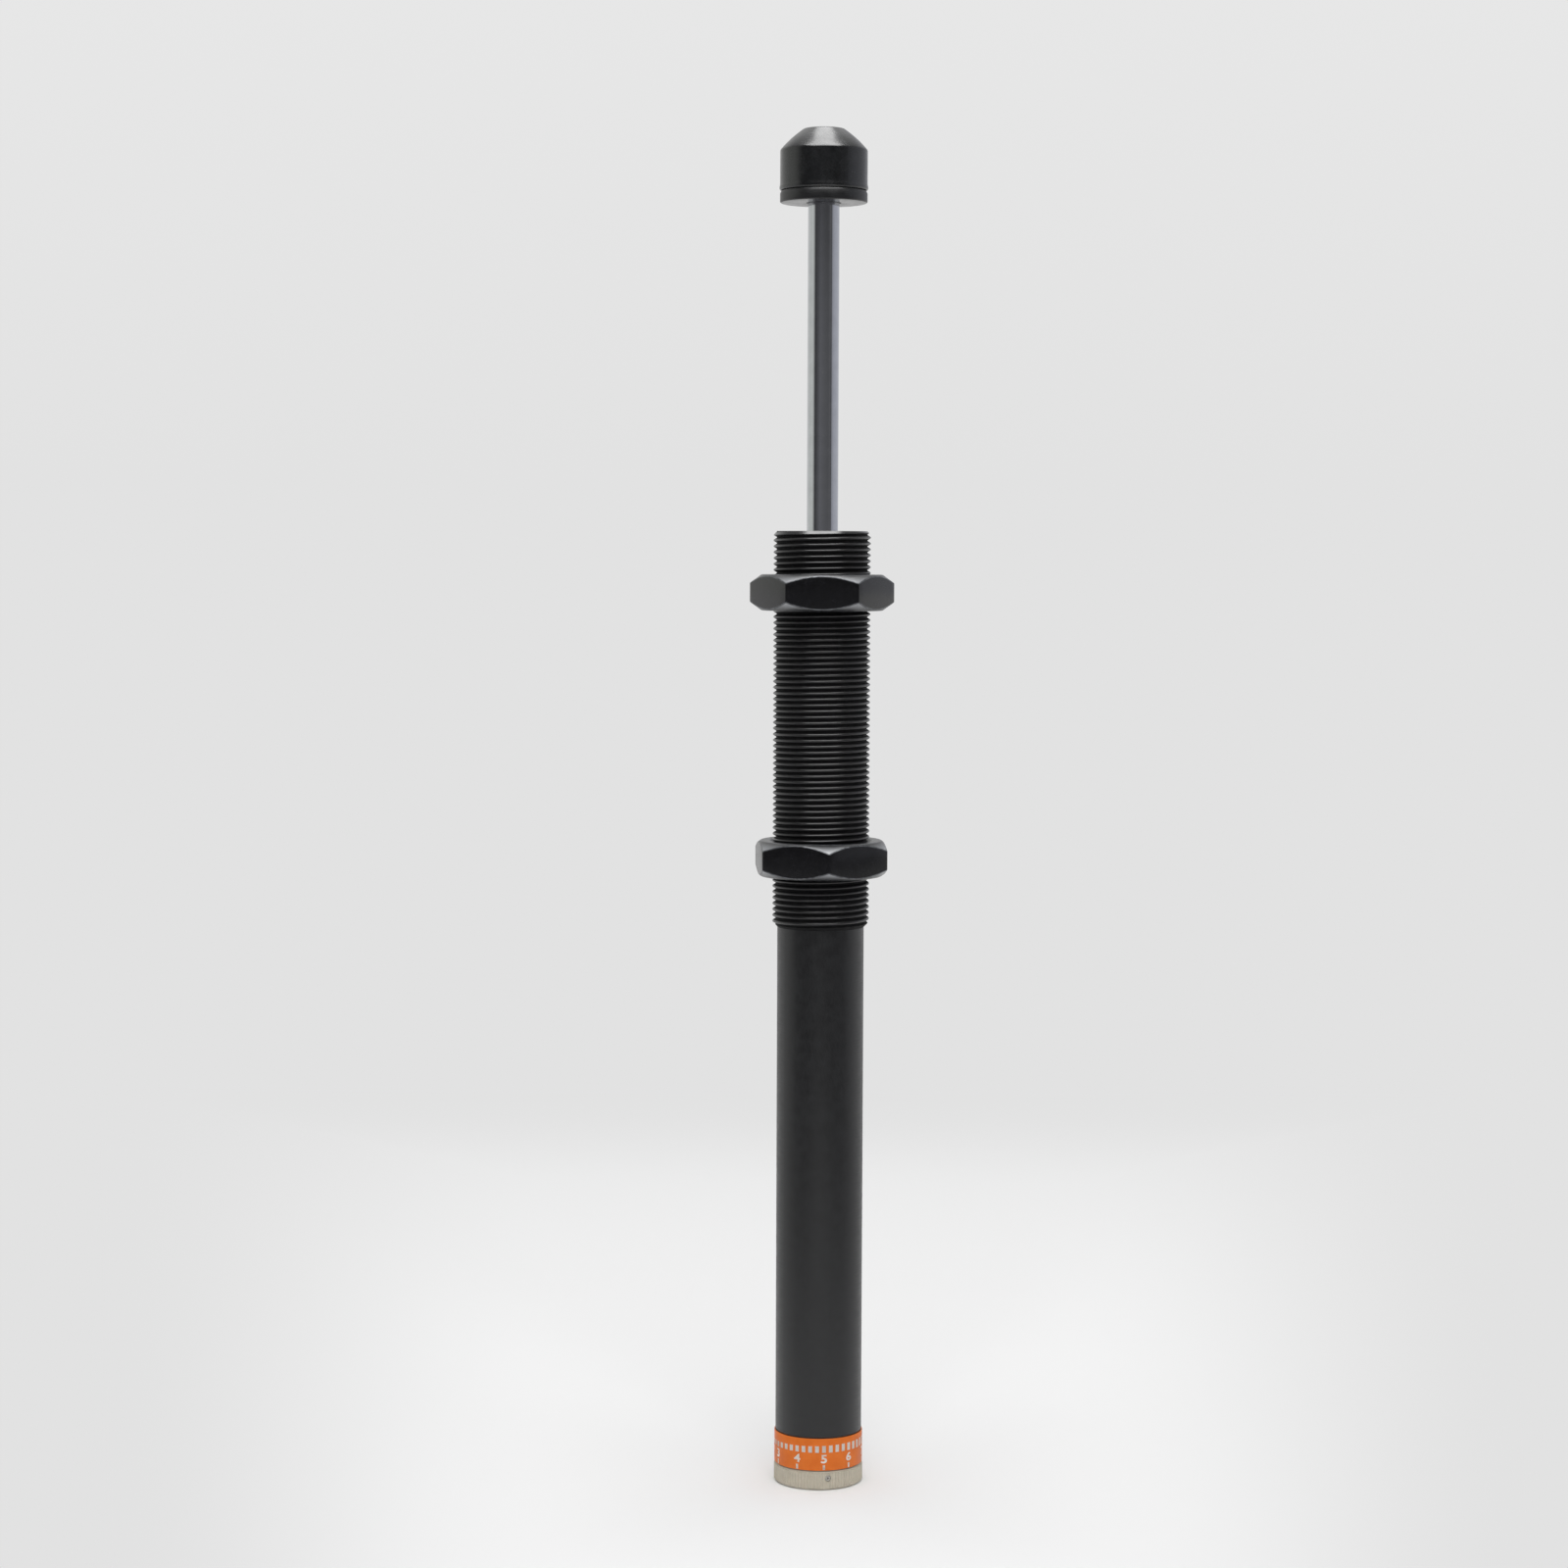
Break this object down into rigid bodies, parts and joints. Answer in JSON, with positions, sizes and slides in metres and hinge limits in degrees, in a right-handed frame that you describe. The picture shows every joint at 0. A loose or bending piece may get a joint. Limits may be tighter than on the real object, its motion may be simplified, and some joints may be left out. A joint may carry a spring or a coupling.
{
  "type": "industrial shock absorber",
  "caption": "Adjustable hydraulic shock absorber: threaded tube housing with two lock nuts, chromed piston rod with a urethane strike cap, and a rear knob that sets the damping.",
  "frame": {"origin": "middle of the adjusting knob's end face, which the part stands on", "axes": "+Z along the piston rod towards the strike cap; -Y is the side with the number 5 of the scale"},
  "size_m": [0.037, 0.0368, 0.3472],
  "materials": {
    "black_oxide_steel": "black oxide, satin",
    "black_oxide_nut": "black oxide, satin, machined",
    "black_fastener": "black oxide",
    "steel": "turned",
    "spring_steel": "drawn wire",
    "hard_chrome": "ground and polished",
    "knurled_aluminium": "clear anodised, fine straight knurl",
    "bronze": "turned bronze",
    "orange_scale": "satin printed film band",
    "urethane": "moulded, semi-gloss",
    "nitrile_rubber": "moulded",
    "polyurethane_seal": "moulded",
    "foam": "closed-cell foam"
  },
  "bodies": {
    "housing": {"housing_tube": "black_oxide_steel", "rear_cap": "steel", "scale_band": "orange_scale", "rear_cap_oring": "nitrile_rubber", "guide_pins": "steel", "tube_plug": "steel", "plug_oring": "nitrile_rubber", "pressure_tube": "steel", "gland": "steel", "gland_oring": "nitrile_rubber", "rod_bearing": "bronze", "rod_seal": "polyurethane_seal", "seal_washer": "steel", "rod_wiper": "nitrile_rubber", "retaining_ring": "spring_steel", "accumulator_foam": "foam", "return_spring": "spring_steel"},
    "knob": {"adjuster_knob": "knurled_aluminium", "knob_set_screw": "black_fastener", "knob_screw": "black_fastener", "stop_pin": "steel", "adjuster_spindle": "steel", "spindle_oring": "nitrile_rubber"},
    "metering_sleeve_body": {"metering_sleeve": "steel"},
    "rod": {"piston_rod": "hard_chrome", "piston": "bronze", "piston_nut": "steel", "strike_button": "black_oxide_steel", "urethane_cap": "urethane"},
    "check_ring_body": {"check_ring": "bronze"},
    "front_nut": {"front_lock_nut": "black_oxide_nut"},
    "rear_nut": {"rear_lock_nut": "black_oxide_nut"}
  },
  "joints": [
    {"name": "rod_stroke", "type": "slide", "parent": "housing", "child": "rod", "axis": [0, 0, -1], "range_m": [0, 0.08], "stiffness_N_per_m": 300, "springref_m": -0.05, "deforming": ["return_spring"]},
    {"name": "check_ring_float", "type": "slide", "parent": "rod", "child": "check_ring_body", "axis": [0, 0, 1], "range_m": [0, 0.00076]},
    {"name": "knob_turn", "type": "hinge", "parent": "housing", "child": "knob", "pos_m": [0, 0, 0], "axis": [0, 0, 1], "range_deg": [-185.4, 138.6]},
    {"name": "sleeve_shift", "type": "slide", "parent": "housing", "child": "metering_sleeve_body", "axis": [0, 0, 1], "range_m": [-0.00077, 0.00058]},
    {"name": "front_nut_travel", "type": "slide", "parent": "housing", "child": "front_nut", "axis": [0, 0, 1], "range_m": [-0.027, 0.009]},
    {"name": "rear_nut_travel", "type": "slide", "parent": "housing", "child": "rear_nut", "axis": [0, 0, 1], "range_m": [-0.0105, 0.03]}
  ],
  "couplings": [
    {"joint": "knob_turn", "follows": "sleeve_shift", "rad_per_m": 4188.8}
  ]
}
